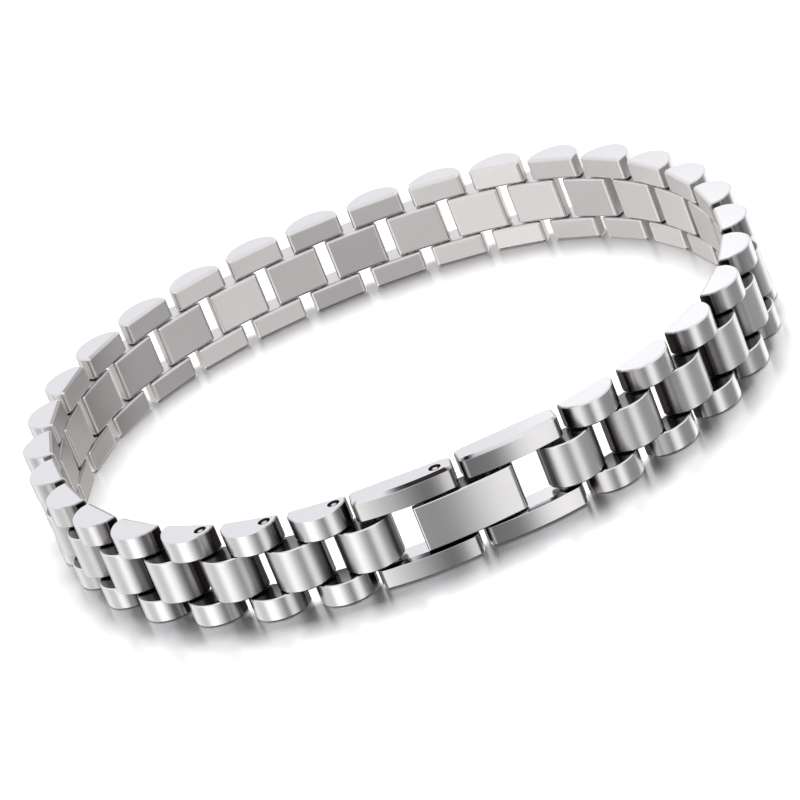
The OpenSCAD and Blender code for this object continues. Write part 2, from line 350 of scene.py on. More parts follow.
def crowned(outline, drop):
    """Bends the brushed side of an outline into a shallow arch, whose ends lie deeper by drop."""
    first = next(i for i, p in enumerate(outline) if p.finish == BRUSHED)
    start, stop = outline[first], outline[first + 1]
    middle, half = (start.x + stop.x) / 2, (stop.x - start.x) / 2
    flat = [start._replace(x=x, facing=math.pi / 2) for x in np.linspace(start.x, stop.x, DOME_STEPS)]
    bent = []
    for p in outline[:first] + flat + outline[first + 2:]:
        if p.y > start.y / 2:
            lean = math.atan(2 * drop * (p.x - middle) / half ** 2)
            p = p._replace(y=p.y - drop * ((p.x - middle) / half) ** 2,
                           facing=p.facing - math.sin(p.facing) * lean)
        bent.append(p)
    return bent


def step(table, value):
    """Value of a table of pairs at this place, in between its own places too."""
    return float(np.interp(value, *zip(*table)))


class Shape:
    """A mesh in the making. It carries the finish of each face, the way the grain runs, how near a
    rounded edge is, the shade of its neighbours, and a tone that sets each piece of metal apart."""

    edge_steps = len(SLOPE) - 1
    round_steps = 24

    def __init__(self):
        self.bm = bmesh.new()
        self.finish = self.bm.faces.layers.int.new("finish")
        self.tone = self.bm.verts.layers.float.new("tone")
        self.edge = self.bm.verts.layers.float.new("edge")
        self.shade = self.bm.verts.layers.float.new("shade")
        self.grain = self.bm.loops.layers.uv.new("grain")
        self.normal = self.bm.verts.layers.float_vector.new("facing")

    def ring(self, points, normals, tone, edge=0.0, shades=None):
        """Vertices at these points, with their normals and their shades."""
        ring = [self.bm.verts.new(p) for p in points]
        for v, normal, shade in zip(ring, normals, shades or [0.0] * len(ring)):
            v[self.normal], v[self.tone], v[self.edge], v[self.shade] = normal, tone, edge, shade
        return ring

    def face(self, verts, finish, grain):
        face = self.bm.faces.new(verts)
        face[self.finish] = finish
        face.smooth = True
        for loop, uv in zip(face.loops, grain):
            loop[self.grain].uv = uv
        return face

    def flat(self, rings, finish, up):
        """Flat face inside the first ring, with the other rings as holes."""
        edges = []
        for ring in rings:
            for i, v in enumerate(ring):
                edges.append(self.bm.edges.get((ring[i - 1], v)) or self.bm.edges.new((ring[i - 1], v)))
        made = bmesh.ops.triangle_fill(self.bm, use_beauty=True, use_dissolve=False, edges=edges,
                                       normal=(0, 0, 1 if up else -1))["geom"]
        for face in made:
            if not isinstance(face, bmesh.types.BMFace):
                continue
            face.normal_update()
            if (face.normal.z > 0) != up:
                face.normal_flip()
            face[self.finish] = finish
            face.smooth = True
            for loop in face.loops:
                loop[self.grain].uv = loop.vert.co.xy / MM

    def bridge(self, low, high, across, ways, finishes, inwards=False):
        """Closed strip of faces from a lower ring to an upper one."""
        count = len(low)
        for i in range(count):
            j = (i + 1) % count
            verts = [low[i], low[j], high[j], high[i]]
            grain = [(ways[i], across[0]), (ways[i + 1], across[0]),
                     (ways[i + 1], across[1]), (ways[i], across[1])]
            if inwards:
                verts.reverse()
                grain.reverse()
            self.face(verts, finishes[i], grain)

    def bar(self, outline, low, high, tone=0.5, bores=(), windows=(), rim=0.0, slope=0.0, covered=False,
            shades=None):
        """Bar of this outline from the height low to high, with all its edges rounded. Bores go through
        it, and windows go into its top: each is x, y and radius, and a window's depth. slope is the
        width of the edge where the outline asks for a sloped one, covered says that the next row lies
        over the top, and shades are the shade of the side and of the slope at each point."""
        steps = [math.dist(p[:2], q[:2]) for p, q in zip(outline, outline[1:] + outline[:1])]
        ways = np.concatenate([[0], np.cumsum(steps)]) / MM
        finishes = [p.finish for p in outline]
        shades = shades or [(step(END_SHADE, abs(math.degrees(p.facing) - 90)), 0) for p in outline]
        depth = max(p.y for p in outline) - min(p.y for p in outline)
        angles = [t * math.pi / 2 for t in np.linspace(0, 1, self.edge_steps + 1)]
        rings = []
        for end, sign in ((low, 1), (high, -1)):
            half = []
            for a, (far, deep, on_slope) in zip(angles, SLOPE):
                points, normals = [], []
                for x, y, facing, edge, _, share in outline:
                    inset = edge * (1 - math.sin(a)) * (1 - share) + slope * far * share
                    lift = edge * ((1 - math.cos(a)) * (1 - share) + deep * share)
                    points.append((x - math.cos(facing) * inset, y - math.sin(facing) * inset,
                                   end + sign * lift))
                    lean = math.atan2(SLOPE_RISE * edge, SLOPE_RUN * slope) if on_slope and slope else a
                    tilt = a + (lean - a) * share
                    normals.append((math.cos(facing) * math.sin(tilt), math.sin(facing) * math.sin(tilt),
                                    -sign * math.cos(tilt)))
                across = (end + sign * (math.sin(a) - math.cos(a)) * outline[0].edge) / MM
                if sign == 1:
                    shade = [max(side, LOW_SHADE * math.cos(a)) for side, _ in shades]
                elif covered and a == 0:
                    shade = [1 - COVERED_FADE * p.y / depth for p in outline]
                else:
                    shade = [max(side * math.sin(a), p.sloped * bevel if on_slope else 0)
                             for p, (side, bevel) in zip(outline, shades)]
                half.append((self.ring(points, normals, tone, math.sin(2 * a), shade), across))
            rings += half if sign == 1 else half[::-1]
        edges = [SATIN if f == SATIN else LAPPED for f in finishes]
        for i, ((a, low_v), (b, high_v)) in enumerate(zip(rings, rings[1:])):
            self.bridge(a, b, (low_v, high_v), ways, finishes if i == self.edge_steps else edges)
        bottoms, tops = [rings[0][0]], [rings[-1][0]]
        for x, y, radius in bores:
            bottom, top = [self.rim_rings(x, y, radius, end, sign, rim, tone, BORE_SHADE * covered)
                           for end, sign in ((low, 1), (high, -1))]
            bottoms.append(bottom[0])
            tops.append(top[0])
            self.tube(bottom + top[::-1], radius)
        for x, y, radius, depth in windows:
            top = self.rim_rings(x, y, radius, high, -1, rim, tone)
            tops.append(top[0])
            # The wall and floor of a window take the dull finish, painted dark as shade in the hole
            wall = self.circle(x, y, radius, high - depth, -1, 0, tone)
            self.tube([wall, top[-1]], radius, finish=DULL_SHADED)
            self.tube(top[::-1], radius, finish=LAPPED)
            self.flat([self.circle(x, y, radius, high - depth, 0, 1, tone)], DULL_SHADED, True)
        self.flat(bottoms, LAPPED, False)
        self.flat(tops, LAPPED, True)

    def rim_rings(self, x, y, radius, end, sign, rim, tone, shade=0.0):
        """Rounded rim of a bore, from the face that it opens into."""
        return [self.circle(x, y, radius + rim * (1 - math.sin(a)), end + sign * rim * (1 - math.cos(a)),
                            -math.sin(a), -sign * math.cos(a), tone, shade)
                for a in (0, math.pi / 4, math.pi / 2)]

    def circle(self, x, y, radius, z, facing_out, facing_up, tone, shade=0.0):
        """Round ring that faces this far outwards and this far up."""
        turns = [(math.cos(a), math.sin(a))
                 for a in np.linspace(0, 2 * math.pi, self.round_steps, endpoint=False)]
        return self.ring([(x + radius * c, y + radius * s, z) for c, s in turns],
                         [(facing_out * c, facing_out * s, facing_up) for c, s in turns], tone,
                         shades=[shade] * self.round_steps)

    def tube(self, rings, radius, inwards=True, finish=BRUSHED):
        """Faces between round rings, from the lowest to the highest."""
        ways = np.linspace(0, 2 * math.pi * radius / MM, self.round_steps + 1)
        for a, b in zip(rings, rings[1:]):
            self.bridge(a, b, (a[0].co.z / MM, b[0].co.z / MM), ways, [finish] * self.round_steps, inwards)

    def pin(self, x, y, radius, low, high, dome, tone=0.5, shade=0.0):
        """Round pin with slightly domed ends. shade is the shade round its ends."""
        rings = []
        for end, sign in ((low, 1), (high, -1)):
            angles = [t * math.pi / 2 for t in (0.25, 0.5, 0.75, 1)]
            half = [self.circle(x, y, radius * math.sin(a), end + sign * dome * (1 - math.cos(a)),
                                math.sin(a), -sign * math.cos(a), tone, shade * step(PIN_SHADE, math.sin(a)))
                    for a in angles]
            rings += half if sign == 1 else half[::-1]
        self.tube(rings, radius, inwards=False)
        for ring, end, up in ((rings[0], low, False), (rings[-1], high, True)):
            tip = self.ring([(x, y, end)], [(0, 0, 1 if up else -1)], tone)[0]
            for i in range(len(ring)):
                verts = [ring[i - 1], ring[i], tip] if up else [ring[i], ring[i - 1], tip]
                self.face(verts, BRUSHED, [v.co.xy / MM for v in verts])

    def place(self, matrix):
        """Moves the shape, and its stored normals with it."""
        bmesh.ops.transform(self.bm, matrix=matrix, verts=self.bm.verts)
        for v in self.bm.verts:
            v[self.normal] = matrix.to_3x3() @ v[self.normal]
        return self

    def add(self, other):
        """Takes in another shape."""
        mesh = other.mesh("part")
        self.bm.from_mesh(mesh)
        bpy.data.meshes.remove(mesh)
        return self

    def mesh(self, name):
        """Mesh of the shape, with its stored normals as custom ones."""
        mesh = bpy.data.meshes.new(name)
        self.bm.to_mesh(mesh)
        mesh.normals_split_custom_set_from_vertices([v[self.normal].normalized() for v in self.bm.verts])
        return mesh


def link_outline(link):
    """Outline of a link, which is alike in all rows."""
    return domed_outline(link.length, link.thickness, link.end_depth, link.corner, link.outer_corner,
                         link.edge, link.inner_edge)


# Node trees

class Tree:
    """Adds nodes to a tree, from left to right."""

    def __init__(self, tree):
        self.tree = tree
        self.count = 0

    def add(self, kind, inputs=(), **settings):
        node = self.tree.nodes.new(kind)
        node.location = (220 * (self.count // 4), -260 * (self.count % 4))
        self.count += 1
        for key, value in settings.items():
            setattr(node, key, value)
        for key, value in dict(inputs).items():
            if isinstance(value, bpy.types.NodeSocket):
                self.tree.links.new(value, node.inputs[key])
            else:
                node.inputs[key].default_value = value
        return node

    def math(self, operation, *values):
        """Result of a sum on numbers and sockets."""
        return self.add("ShaderNodeMath", enumerate(values), operation=operation).outputs[0]

    def vector(self, operation, *values):
        """Result of a sum on vectors."""
        return self.add("ShaderNodeVectorMath", enumerate(values), operation=operation).outputs[0]

    def scaled(self, vector, factor):
        """A vector times a number."""
        return self.add("ShaderNodeVectorMath", {0: vector, "Scale": factor}, operation="SCALE").outputs[0]

    def mixed(self, factor, first, second):
        """Mix of two colours, each a socket or three channels."""
        first, second = [c if isinstance(c, bpy.types.NodeSocket) else (*c, 1) for c in (first, second)]
        return self.add("ShaderNodeMix", {0: factor, 6: first, 7: second}, data_type="RGBA").outputs[2]

    def fade(self, value, start, stop, most=1.0):
        """Soft step of a value, from 0 at start to most at stop."""
        return self.add("ShaderNodeMapRange", {"Value": value, "From Min": start, "From Max": stop,
                                               "To Max": most}, interpolation_type="SMOOTHSTEP").outputs[0]

    def attribute(self, name):
        """A layer of the mesh, such as its tone."""
        return self.add("ShaderNodeAttribute", attribute_name=name).outputs["Fac"]

    def noise(self, place, scale, detail, roughness, stretch=None, lean=0.0):
        """Noise over a place, whose two axes are stretched by these factors if there are any."""
        if stretch:
            place = self.add("ShaderNodeMapping", {"Vector": place, "Rotation": (0, 0, lean),
                                                   "Scale": (*stretch, 1)}).outputs[0]
        return self.add("ShaderNodeTexNoise", {"Vector": place, "Scale": scale, "Detail": detail,
                                               "Roughness": roughness}).outputs["Fac"]


def loop_tree():
    """Copies of a link along a line of pins, each turned to the line between its own two pins."""
    group = bpy.data.node_groups.new("links along the loop", "GeometryNodeTree")
    for name, kind in (("Loop", "Geometry"), ("Link", "Object"), ("First pin", "Float"), ("Step", "Float"),
                       ("Pitch", "Float"), ("Pin depth", "Float"), ("Count", "Int"), ("Play", "Float"),
                       ("Seed", "Int"), *((finish, "Material") for finish in FINISHES)):
        group.interface.new_socket(name, in_out="INPUT", socket_type="NodeSocket" + kind)
    group.interface.new_socket("Links", in_out="OUTPUT", socket_type="NodeSocketGeometry")
    tree = Tree(group)
    given = tree.add("NodeGroupInput").outputs
    curve = tree.add("GeometryNodeMeshToCurve", {"Mesh": given["Loop"]}).outputs["Curve"]
    index = tree.add("GeometryNodeInputIndex").outputs["Index"]
    way = tree.math("MULTIPLY_ADD", index, given["Step"], given["First pin"])
    next_way = tree.math("ADD", way, given["Pitch"])
    ends = [tree.add("GeometryNodeSampleCurve", {"Curves": curve, "Length": s}, mode="LENGTH")
            .outputs["Position"] for s in (way, next_way)]
    along = tree.vector("NORMALIZE", tree.vector("SUBTRACT", ends[1], ends[0]))
    out = tree.vector("CROSS_PRODUCT", along, (0, 0, 1))
    middle = tree.scaled(tree.vector("ADD", *ends), 0.5)
    inwards = tree.scaled(out, tree.math("MULTIPLY", given["Pin depth"], -1.0))
    split = tree.add("ShaderNodeSeparateXYZ", {0: along}).outputs
    heading = tree.math("ARCTAN2", split["Y"], split["X"])
    play = tree.add("FunctionNodeRandomValue", {2: tree.math("MULTIPLY", given["Play"], -1.0),
                                                3: given["Play"], "Seed": given["Seed"]},
                    data_type="FLOAT").outputs[1]
    angle = tree.math("ADD", tree.math("ADD", heading, math.pi), play)
    points = tree.add("GeometryNodePoints", {"Count": given["Count"]}).outputs[0]
    points = tree.add("GeometryNodeSetPosition",
                      {"Geometry": points, "Position": tree.vector("ADD", middle, inwards)}).outputs[0]
    link = tree.add("GeometryNodeObjectInfo", {"Object": given["Link"]}).outputs["Geometry"]
    turned = tree.add("ShaderNodeCombineXYZ", {"Z": angle}).outputs[0]
    links = tree.add("GeometryNodeInstanceOnPoints",
                     {"Points": points, "Instance": link, "Rotation": turned}).outputs[0]
    tone = tree.add("FunctionNodeRandomValue", {"Seed": tree.math("ADD", given["Seed"], 7.0)},
                    data_type="FLOAT").outputs[1]
    links = tree.add("GeometryNodeStoreNamedAttribute",
                     {"Geometry": links, "Name": "tone", "Value": tone},
                     data_type="FLOAT", domain="INSTANCE").outputs[0]
    links = tree.add("GeometryNodeRealizeInstances", {"Geometry": links}).outputs[0]
    finish = tree.add("GeometryNodeInputNamedAttribute", {"Name": "finish"}, data_type="INT").outputs[0]
    for number, name in enumerate(FINISHES):
        chosen = tree.add("FunctionNodeCompare", {2: finish, 3: number}, data_type="INT",
                          operation="EQUAL").outputs[0]
        links = tree.add("GeometryNodeSetMaterial",
                         {"Geometry": links, "Selection": chosen, "Material": given[name]}).outputs[0]
    tree.add("NodeGroupOutput", {"Links": links})
    return group


def links_on_loop(context, name, shape, first, count, materials, seed):
    """Mesh of copies of a shape, beside every second pair of pins from the first one."""
    settings = context.scene.bracelet
    layout = Layout(settings)
    line = bpy.data.meshes.new("pin line")
    line.from_pydata([(x, y, 0) for x, y in layout.line], [(i, i + 1) for i in range(LOOP_STEPS)], [])
    carrier = bpy.data.objects.new("pin line", line)
    master = bpy.data.objects.new("link", shape.mesh("link"))
    context.scene.collection.objects.link(carrier)
    tree = bpy.data.node_groups.get("links along the loop") or loop_tree()
    modifier = carrier.modifiers.new("links", "NODES")
    modifier.node_group = tree
    values = {"Link": master, "First pin": way_to_pin(settings.loop, first), "Step": 2 * settings.loop.pitch,
              "Pitch": settings.loop.pitch, "Pin depth": settings.link.pin_depth, "Count": count,
              "Play": settings.link.play, "Seed": seed, **dict(zip(FINISHES, materials))}
    for socket in tree.interface.items_tree:
        if socket.in_out == "INPUT" and socket.name in values:
            modifier[socket.identifier] = values[socket.name]
    depsgraph = context.evaluated_depsgraph_get()
    mesh = bpy.data.meshes.new_from_object(carrier.evaluated_get(depsgraph))
    mesh.name = name
    for unused in (carrier, master):
        data = unused.data
        bpy.data.objects.remove(unused)
        bpy.data.meshes.remove(data)
    if len(mesh.polygons) == 0:
        raise RuntimeError(f"{name}: the tree made no faces")
    return mesh


# Steel

# Between these places along Y the painted shade, and the ends of links, which are painted dark as shade,
# fade to those of the far side
FAR_FROM, FAR_TO = -8 * MM, 6 * MM
FAR_SHADE_LOST = 0.85
# Between these places along X the inner side turns away from the light
TURN_FROM, TURN_TO = -20 * MM, -27 * MM
TURN_SHADE = 0.5
# Brownish black that the painted shade darkens the steel towards
SHADE_COLOUR = (0.035, 0.024, 0.02)
# How far the grain is moved along and across itself from the palest piece to the darkest
GRAIN_SHIFT = (31.0, 57.0)
# The grain's lines are a mix of fine and broad ones, and a scratch is where its noise is in this range
FINE_LINES, BROAD_LINES = 0.6, 0.4
SCRATCH_FROM, SCRATCH_TO = 0.66, 0.72
SCRATCH_DEPTH = -0.5
# What wear, scratches and rounded edges add to the roughness
HANDLED_ROUGH = 0.06
SCRATCH_ROUGH = 0.06
EDGE_ROUGH = -0.4
# What the grain and scratches add to the lightness
GRAIN_LIGHT = 0.25
SCRATCH_LIGHT = -0.05
# Grain of each finish: how far it widens reflections across it, how strongly it shows in the gloss,
# how deep it is in millimetres, and how much single pieces differ in tone
Grain = namedtuple("Grain", "spread streak depth differ")
GRAINS = {"lapped": Grain(0.3, 0.05, 0.0004, 0.1),
          "polished": Grain(0.7, 0.04, 0.0004, 0.05),
          "brushed": Grain(0.85, 0.12, 0.002, 0.05),
          "plate": Grain(0.8, 0.05, 0.0006, 0.0),
          "satin": Grain(0.8, 0.12, 0.002, 0.25),
          "dull_shaded": Grain(0.0, 0.1, 0.002, 0.2)}


def steel(name, bare, roughness, grain, back=None, turn_in=0.0):
    """Steel of this bare colour, with a grain that runs along the band. Its shade layer is painted into
    the colour. It fades to the colour back on the far side from the clasp, where the painted shade of
    the ends gives way, and turn_in is its painted shade where the loop turns at the left."""
    material = bpy.data.materials.new(name)
    material.use_nodes = True
    material.node_tree.nodes.clear()
    tree = Tree(material.node_tree)
    uv = tree.add("ShaderNodeUVMap", uv_map="grain").outputs["UV"]
    tone, edge, shade = [tree.attribute(layer) for layer in ("tone", "edge", "shade")]
    place = tree.add("ShaderNodeTexCoord").outputs["Object"]
    along = tree.add("ShaderNodeSeparateXYZ", {0: place}).outputs
    away = tree.fade(along["Y"], FAR_FROM, FAR_TO)
    shade = tree.math("MULTIPLY", shade, tree.math("MULTIPLY_ADD", away, -FAR_SHADE_LOST, 1.0))
    if turn_in:
        shade = tree.math("MAXIMUM", shade, tree.fade(along["X"], TURN_FROM, TURN_TO, turn_in))
    moved = [tree.math("MULTIPLY", tone, shift) for shift in GRAIN_SHIFT]
    apart = tree.vector("ADD", uv, tree.add("ShaderNodeCombineXYZ", enumerate(moved)).outputs[0])
    fine = tree.noise(apart, 1.0, 5.0, 0.65, stretch=(0.45, 26))
    broad = tree.noise(apart, 1.0, 3.0, 0.5, stretch=(0.25, 5))
    scratch = tree.noise(apart, 1.0, 2.0, 0.5, stretch=(0.5, 14), lean=0.35)
    scratch = tree.add("ShaderNodeMapRange", {"Value": scratch, "From Min": SCRATCH_FROM,
                                              "From Max": SCRATCH_TO}, clamp=True).outputs[0]
    handled = tree.noise(place, 260.0, 4.0, 0.6)
    lines = tree.math("MULTIPLY_ADD", broad, BROAD_LINES, tree.math("MULTIPLY", fine, FINE_LINES))

    around = tree.math("SUBTRACT", lines, 0.5)
    rough = tree.math("MULTIPLY_ADD", around, grain.streak, roughness)
    rough = tree.math("MULTIPLY_ADD", tree.math("SUBTRACT", handled, 0.5), HANDLED_ROUGH, rough)
    rough = tree.math("MULTIPLY_ADD", scratch, SCRATCH_ROUGH, rough)
    rough = tree.math("MULTIPLY_ADD", edge, EDGE_ROUGH * roughness, rough)

    light = tree.math("MULTIPLY_ADD", tree.math("SUBTRACT", tone, 0.5), grain.differ, 1.0)
    light = tree.math("MULTIPLY_ADD", around, GRAIN_LIGHT * grain.streak, light)
    light = tree.math("MULTIPLY_ADD", scratch, SCRATCH_LIGHT, light)
    # On the far side the dull ends' painted dark fades to the lighter far colour
    bare = tree.mixed(away, bare, back) if back else tuple(bare)
    # The shade layer is painted into the colour here, darkening the metal towards the shade colour
    metal = tree.vector("MULTIPLY", bare, tree.mixed(shade, (1, 1, 1), SHADE_COLOUR))
    metal = tree.scaled(metal, light)

    height = tree.math("MULTIPLY_ADD", scratch, SCRATCH_DEPTH, lines)
    bump = tree.add("ShaderNodeBump", {"Height": height, "Strength": 0.5, "Distance": grain.depth * MM})
    tangent = tree.add("ShaderNodeTangent", direction_type="UV_MAP", uv_map="grain").outputs[0]
    shader = tree.add("ShaderNodeBsdfPrincipled", {
        "Base Color": metal, "Metallic": 1.0, "Roughness": rough, "Normal": bump.outputs[0],
        "Anisotropic": grain.spread, "Anisotropic Rotation": 0.25, "Tangent": tangent})
    tree.add("ShaderNodeOutputMaterial", {"Surface": shader.outputs[0]})
    return material


def steels(context, dome):
    """Materials for the lapped, domed, inner and end faces of a piece. dome names the dome's finish."""
    look = context.scene.bracelet.steel
    made = []
    # The dull ends and holes take a colour painted dark as shade near the clasp, which fades to the far end
    # colour
    for finish in ("lapped", dome, "satin", "dull_shaded"):
        bare = {"satin": look.inner_metal, "dull_shaded": look.shaded_end_metal}.get(finish, look.metal)
        back = look.far_end_metal if finish == "dull_shaded" else None
        turn_in = TURN_SHADE if finish == "satin" else 0.0
        name = f"{finish} steel"
        made.append(bpy.data.materials.get(name)
                    or steel(name, bare, getattr(look, finish), GRAINS[finish], back, turn_in))
    return made


# Pieces

def finished(context, name, mesh, body, nodes):
    """Puts a finished mesh in the scene, on its body and in place of its CAD nodes."""
    piece = bpy.data.objects.new(name, mesh)
    context.scene.collection.objects.link(piece)
    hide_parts(*nodes)
    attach(piece, body)
    return piece


def solid_piece(context, name, shape, body, nodes, materials):
    """Finished piece from a shape, with its materials set face by face."""
    mesh = shape.mesh(name)
    for material in materials:
        mesh.materials.append(material)
    finish = np.zeros(len(mesh.polygons), dtype=np.int32)
    mesh.attributes["finish"].data.foreach_get("value", finish)
    mesh.polygons.foreach_set("material_index", finish)
    return finished(context, name, mesh, body, nodes)


def link_row(context, name, shape, first, count, materials, seed):
    """Finished copies of a shape, in place of the links that start at every second pin from the first."""
    mesh = links_on_loop(context, name, shape, first, count, materials, seed)
    nodes = [f"link_{(pin + 1) // 2:02d}" if pin else "first_centre_link"
             for pin in range(first, first + 2 * count, 2)]
    finished(context, name, mesh, BAND, nodes)


def window(link, x):
    """Window over the pin at x, in the top of a bar."""
    return x, link.pin_depth, link.window_radius, link.window_depth


def window_pin(settings, shape, x):
    """Sunk end of the pin at x, which shows in its window."""
    loop, link = settings.loop, settings.link
    shape.pin(x, link.pin_depth, link.pin_radius, loop.band_width - link.window_depth - link.rim,
              loop.band_width - link.pin_sunk, link.pin_dome, shade=1.0)


class BRACELET_OT_side_links(bpy.types.Operator):
    """Makes the two rows of side links, the last ones with a window over a pin"""

    bl_idname = "bracelet.side_links"
    bl_label = "Side links"

    def execute(self, context):
        loop, link = context.scene.bracelet.loop, context.scene.bracelet.link
        outline = link_outline(link)
        materials = steels(context, "polished")
        top = loop.band_width - link.side_width
        windows = [window(link, -loop.pitch / 2)]
        closed = loop.link_count - link.open_links
        for name, low, first, count, openings, seed in (
                ("lower_links", 0, 1, loop.link_count, (), 11),
                ("upper_links", top, 1, closed, (), 23),
                ("window_links", top, 2 * closed + 1, link.open_links, windows, 37)):
            shape = Shape()
            shape.bar(outline, low, low + link.side_width, windows=openings, rim=link.rim,
                      covered=not low)
            link_row(context, name, shape, first, count, materials, seed)
        return {"FINISHED"}


class BRACELET_OT_centre_links(bpy.types.Operator):
    """Makes the row of centre links, bored for their pins"""

    bl_idname = "bracelet.centre_links"
    bl_label = "Centre links"

    def execute(self, context):
        loop, link = context.scene.bracelet.loop, context.scene.bracelet.link
        low = link.side_width + link.row_gap
        bore = link.pin_radius + link.pin_play
        shape = Shape()
        shape.bar(link_outline(link), low, loop.band_width - low, rim=link.rim, covered=True,
                  bores=[(x, link.pin_depth, bore) for x in (-loop.pitch / 2, loop.pitch / 2)])
        link_row(context, "centre_links", shape, 0, loop.link_count + 1, steels(context, "brushed"), 5)
        return {"FINISHED"}


class BRACELET_OT_chain_pins(bpy.types.Operator):
    """Makes the pins that join the rows, and the pin ends that show in the windows"""

    bl_idname = "bracelet.chain_pins"
    bl_label = "Chain pins"

    def execute(self, context):
        settings = context.scene.bracelet
        loop, link = settings.loop, settings.link
        hold = link.side_width - link.pin_bite
        pair = Shape()
        for x in (-loop.pitch / 2, loop.pitch / 2):
            pair.pin(x, link.pin_depth, link.pin_radius, hold, loop.band_width - hold, link.pin_dome)
        end = Shape()
        window_pin(settings, end, -loop.pitch / 2)
        closed = loop.link_count - link.open_links
        for name, shape, first, count in (("chain_pins", pair, 1, loop.link_count),
                                          ("pin_ends", end, 2 * closed + 1, link.open_links)):
            link_row(context, name, shape, first, count, steels(context, "polished"), 3)
        return {"FINISHED"}


def frame_arms(settings, x, slope, side_shade, slope_shade, windows=()):
    """Lower and upper arm of a clasp frame, with their middle at x. The tables give the shade of the
    domes and of the slopes."""
    loop, link, clasp = settings.loop, settings.link, settings.clasp
    outline = domed_outline(clasp.arm_length, clasp.arm_thickness, clasp.arm_end, clasp.arm_corner,
                            clasp.arm_corner, clasp.arm_edge, clasp.arm_inner_edge, sloped=1)
    shades = [(max(step(side_shade, -p.x / MM) if p.y > clasp.arm_end else 0,
                   step(ARM_SHADE, abs(math.degrees(p.facing) - 90))), step(slope_shade, -p.x / MM))
              for p in outline]
    outline = [p._replace(x=p.x + x, y=p.y + link.pin_depth - clasp.arm_depth) for p in outline]
    shape = Shape()
    shape.bar(outline, 0, clasp.arm_width, tone=0.62, slope=slope, shades=shades)
    shape.bar(outline, loop.band_width - clasp.arm_width, loop.band_width, tone=0.45, windows=windows,
              rim=link.rim, slope=slope, shades=shades)
    return shape


def frame_pin(settings, shape, x, y):
    """Pin or bar between the two arms of a frame."""
    link = settings.link
    hold = settings.clasp.arm_width - link.pin_bite
    shape.pin(x, y, link.pin_radius, hold, settings.loop.band_width - hold, link.pin_dome)


class BRACELET_OT_hinge_frame(bpy.types.Operator):
    """Makes the clasp frame that carries the lever"""

    bl_idname = "bracelet.hinge_frame"
    bl_label = "Hinge frame"

    def execute(self, context):
        settings = context.scene.bracelet
        link, clasp = settings.link, settings.clasp
        layout = Layout(settings)
        shape = frame_arms(settings, clasp.hinge_tail - clasp.arm_length / 2, clasp.hinge_slope,
                           HINGE_SHADE, HINGE_SLOPE_SHADE, [window(link, -clasp.hinge_at)])
        frame_pin(settings, shape, 0, link.pin_depth)
        frame_pin(settings, shape, -clasp.hinge_at, link.pin_depth)
        window_pin(settings, shape, -clasp.hinge_at)
        shape.place(beside(layout.pin(layout.last), layout.hinge_turn, -link.pin_depth))
        solid_piece(context, "hinge_frame_arms", shape, BAND, ["hinge_frame"],
                    steels(context, "polished"))
        return {"FINISHED"}


class BRACELET_OT_catch_frame(bpy.types.Operator):
    """Makes the clasp frame with the bar that the lever closes on"""

    bl_idname = "bracelet.catch_frame"
    bl_label = "Catch frame"

    def execute(self, context):
        settings = context.scene.bracelet
        link, clasp = settings.link, settings.clasp
        layout = Layout(settings)
        shape = frame_arms(settings, clasp.arm_length / 2 - clasp.catch_tail, clasp.catch_slope,
                           CATCH_SHADE, CATCH_SLOPE_SHADE)
        frame_pin(settings, shape, 0, link.pin_depth)
        shape.place(beside(layout.pin(0), layout.catch_turn, -link.pin_depth))
        bar = Shape()
        frame_pin(settings, bar, -clasp.catch_at, -clasp.catch_inside)
        shape.add(bar.place(beside(HINGE.xy, layout.lever_turn)))
        solid_piece(context, "catch_frame_arms", shape, BAND, ["catch_frame"],
                    steels(context, "polished"))
        return {"FINISHED"}


# Rounding of the lever's small corners, as a multiple of the rounding of its edges
CORNER_OVER_EDGE = 1.05


class BRACELET_OT_clasp_lever(bpy.types.Operator):
    """Makes the cover plate: a thick block with a notch for the catch bar, and a thin short end"""

    bl_idname = "bracelet.clasp_lever"
    bl_label = "Clasp lever"

    def execute(self, context):
        settings = context.scene.bracelet
        loop, link, clasp = settings.loop, settings.link, settings.clasp
        small = CORNER_OVER_EDGE * clasp.lever_edge
        notch = link.pin_radius + clasp.catch_play
        notch_top = link.pin_radius - clasp.catch_inside + clasp.catch_play / 2
        thin = clasp.outside - clasp.sheet
        outline = rounded_outline([
            (-clasp.front, -clasp.inside, small, SATIN),
            (-clasp.catch_at - notch, -clasp.inside, small, SATIN),
            (-clasp.catch_at - notch, notch_top, small, SATIN),
            (-clasp.catch_at + notch, notch_top, small, SATIN),
            (-clasp.catch_at + notch, -clasp.inside, small, SATIN),
            (clasp.block_back, -clasp.inside, small, LAPPED),
            (clasp.block_back, thin, small, SATIN),
            (clasp.back, thin, small, LAPPED),
            (clasp.back, clasp.outside, small, BRUSHED),
            (-clasp.front, clasp.outside, clasp.front_round, LAPPED)], clasp.lever_edge)
        outline = crowned(outline, clasp.crown)
        low = clasp.arm_width + link.row_gap
        shape = Shape()
        shape.bar(outline, low, loop.band_width - clasp.arm_width - clasp.lever_play, covered=True,
                  bores=[(0, 0, link.pin_radius + link.pin_play)], rim=link.rim)
        shape.place(beside(HINGE.xy, Layout(settings).lever_turn))
        solid_piece(context, "cover_plate", shape, LEVER, ["clasp_lever"],
                    steels(context, "plate"))
        return {"FINISHED"}


# Studio

